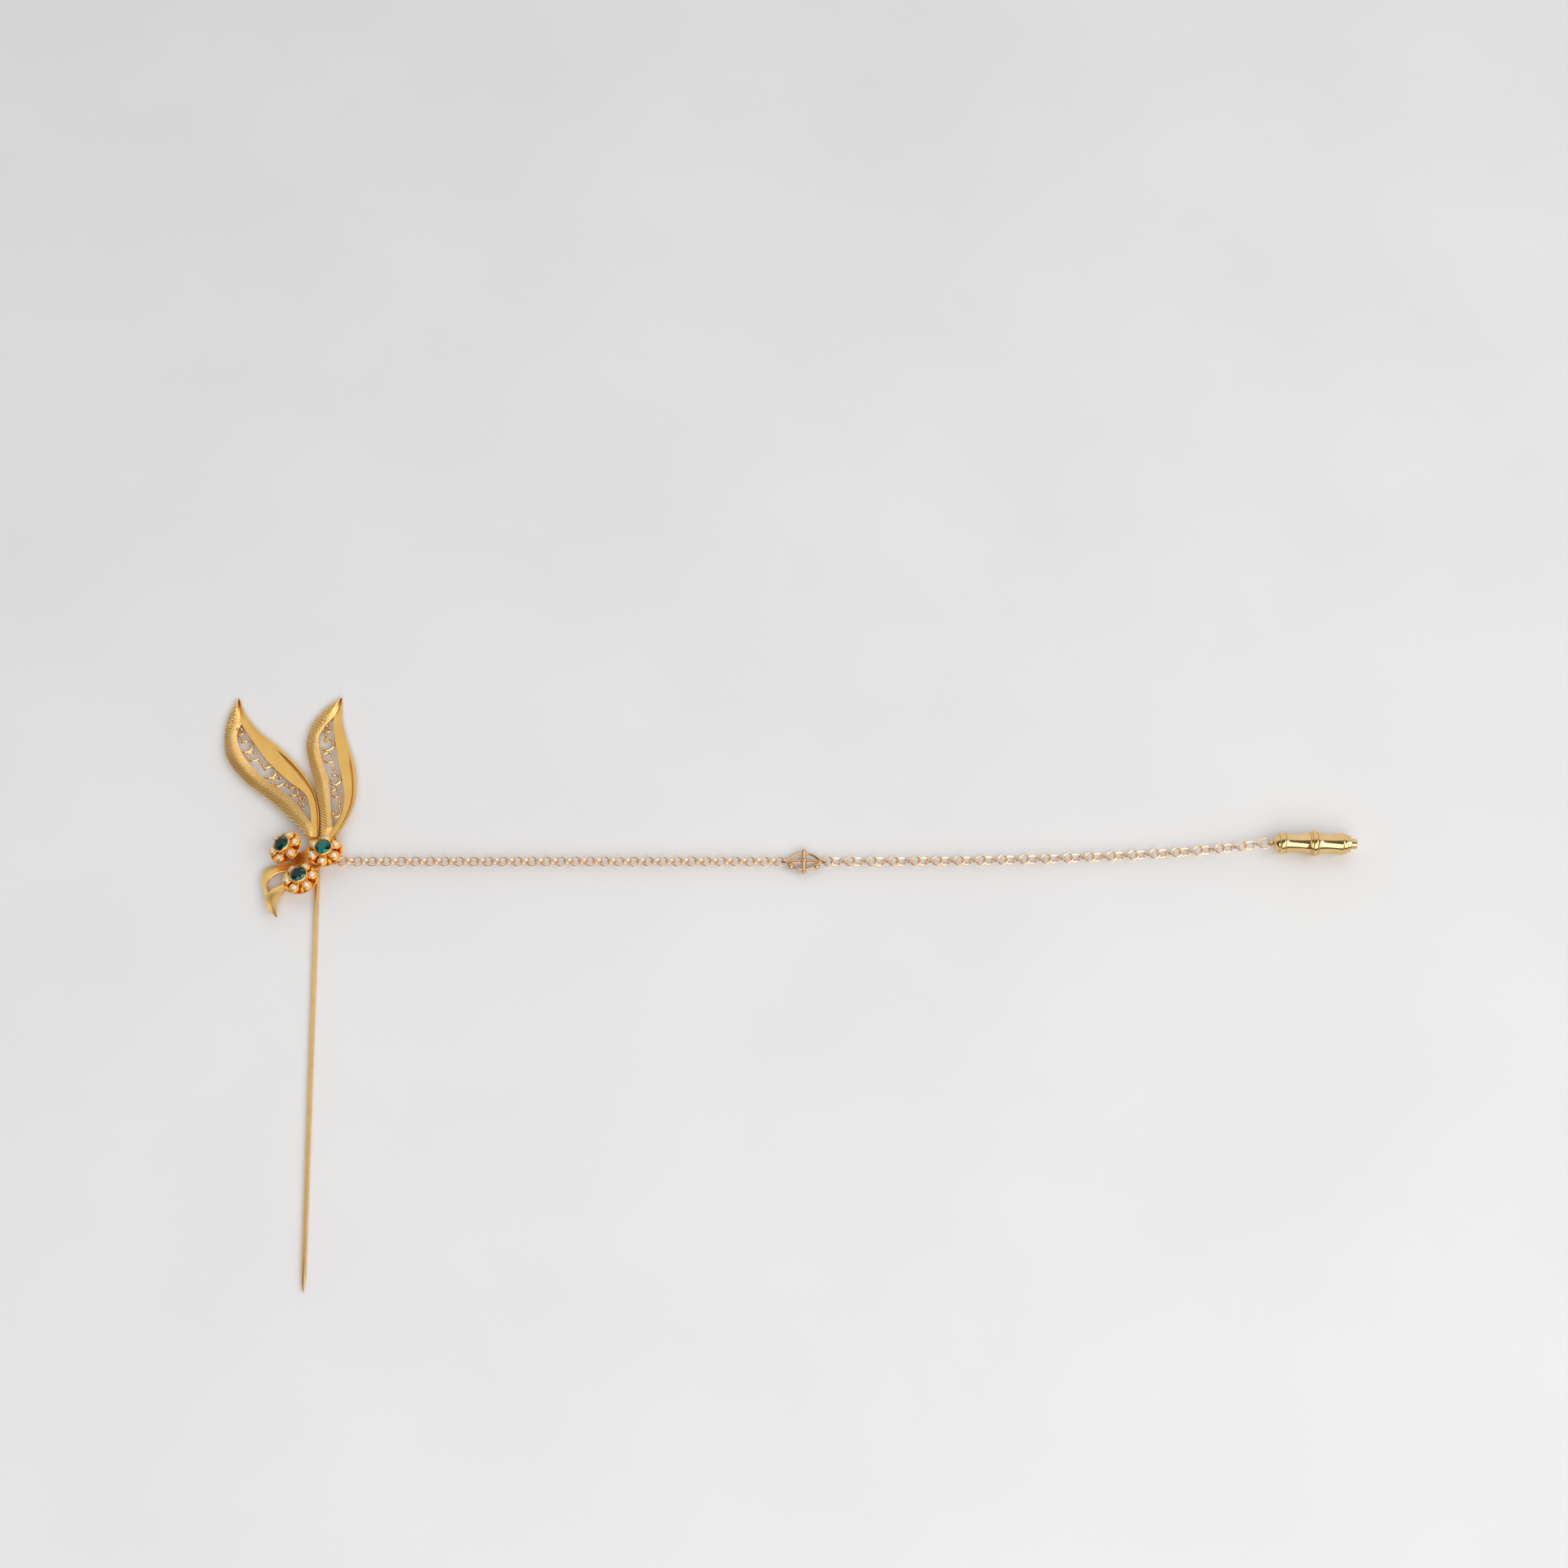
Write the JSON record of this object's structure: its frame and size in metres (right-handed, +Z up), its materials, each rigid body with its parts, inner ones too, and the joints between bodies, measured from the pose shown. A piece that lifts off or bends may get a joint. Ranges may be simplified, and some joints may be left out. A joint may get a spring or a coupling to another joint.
{
  "type": "hat pin",
  "caption": "Hat pin with two openwork leaves, a cluster of jewelled flowers, a ribbon end and a safety chain to a bamboo-shaped ball clutch for its point.",
  "frame": {"origin": "on the pin's axis where the shank leaves the head", "axes": "-Y along the shank to the point, +Y to the leaf tips, +X to the chain and the clutch, +Z up from the back of the head"},
  "size_m": [0.2474, 0.1352, 0.0062],
  "materials": {
    "pin_gold": "gold-plated wire, drawn along its length",
    "solder_gold": "gilt over solder, soft edges",
    "ribbed_gold": "gilt, finely ribbed, darker in the furrows",
    "satin_gold": "gilt, satin, brushed along the leaf",
    "wire_gold": "gilt wire and granules, bright",
    "flower_gold": "rich polished gilt, dark in the gaps",
    "ribbon_gold": "polished gilt sheet",
    "green_stone": "faceted foiled glass, deep teal green",
    "clear_stone": "faceted foiled glass, clear",
    "chain_gold": "fine polished chain, pinkish gold",
    "station_gold": "polished, dark in the recesses",
    "clutch_brass": "bright polished pale brass",
    "steel": "plain steel"
  },
  "bodies": {
    "head": {"pin_stem": "pin_gold", "pin_solder": "solder_gold", "back_plate": "solder_gold", "left_leaf_ribbed_side": "ribbed_gold", "left_leaf_smooth_side": "satin_gold", "left_leaf_scrolls": "wire_gold", "left_leaf_granules": "wire_gold", "right_leaf_ribbed_side": "ribbed_gold", "right_leaf_smooth_side": "satin_gold", "right_leaf_scrolls": "wire_gold", "right_leaf_granules": "wire_gold", "left_flower_dish": "flower_gold", "left_flower_petals": "flower_gold", "left_flower_collar": "flower_gold", "left_flower_green_stone": "green_stone", "left_flower_clear_stones": "clear_stone", "left_flower_post": "solder_gold", "right_flower_dish": "flower_gold", "right_flower_petals": "flower_gold", "right_flower_collar": "flower_gold", "right_flower_green_stone": "green_stone", "right_flower_clear_stones": "clear_stone", "right_flower_post": "solder_gold", "lower_flower_dish": "flower_gold", "lower_flower_petals": "flower_gold", "lower_flower_collar": "flower_gold", "lower_flower_green_stone": "green_stone", "lower_flower_clear_stones": "clear_stone", "lower_flower_post": "solder_gold", "ribbon_loop": "ribbon_gold", "ribbon_tail": "ribbon_gold", "chain_anchor_loop": "flower_gold", "chain_anchor_ring": "chain_gold"},
    "first_chain": {"chain_first_half": "chain_gold"},
    "station": {"station_frame": "station_gold", "station_wrap": "station_gold", "station_beads": "station_gold", "station_eyes": "station_gold"},
    "second_chain": {"chain_second_half": "chain_gold", "clutch_jump_ring": "chain_gold"},
    "clutch": {"clutch_end_cap": "clutch_brass", "clutch_eye": "clutch_brass", "clutch_barrel": "clutch_brass", "clutch_spring": "steel"},
    "plunger": {"clutch_plunger": "clutch_brass", "clutch_balls": "steel"}
  },
  "joints": [
    {"name": "first_chain_swing", "type": "hinge", "parent": "head", "child": "first_chain", "pos_m": [0.0056, 0.0083, 0.00076], "axis": [0, 0, 1], "range_deg": [-45, 45]},
    {"name": "station_swing", "type": "hinge", "parent": "first_chain", "child": "station", "pos_m": [0.10028, 0.0035, 0.00076], "axis": [0, 0, 1], "range_deg": [-45, 45]},
    {"name": "second_chain_swing", "type": "hinge", "parent": "station", "child": "second_chain", "pos_m": [0.11099, 0.00296, 0.00076], "axis": [0, 0, 1], "range_deg": [-45, 45]},
    {"name": "clutch_swing", "type": "hinge", "parent": "second_chain", "child": "clutch", "pos_m": [0.20603, 0.00193, 0.0019], "axis": [0, 0, 1], "range_deg": [-60, 60]},
    {"name": "plunger_slide", "type": "slide", "parent": "clutch", "child": "plunger", "axis": [-0.9978, 0.0663, 0], "range_m": [0, 0.0008], "stiffness_N_per_m": 200, "springref_m": -0.001, "deforming": ["clutch_spring"]}
  ]
}
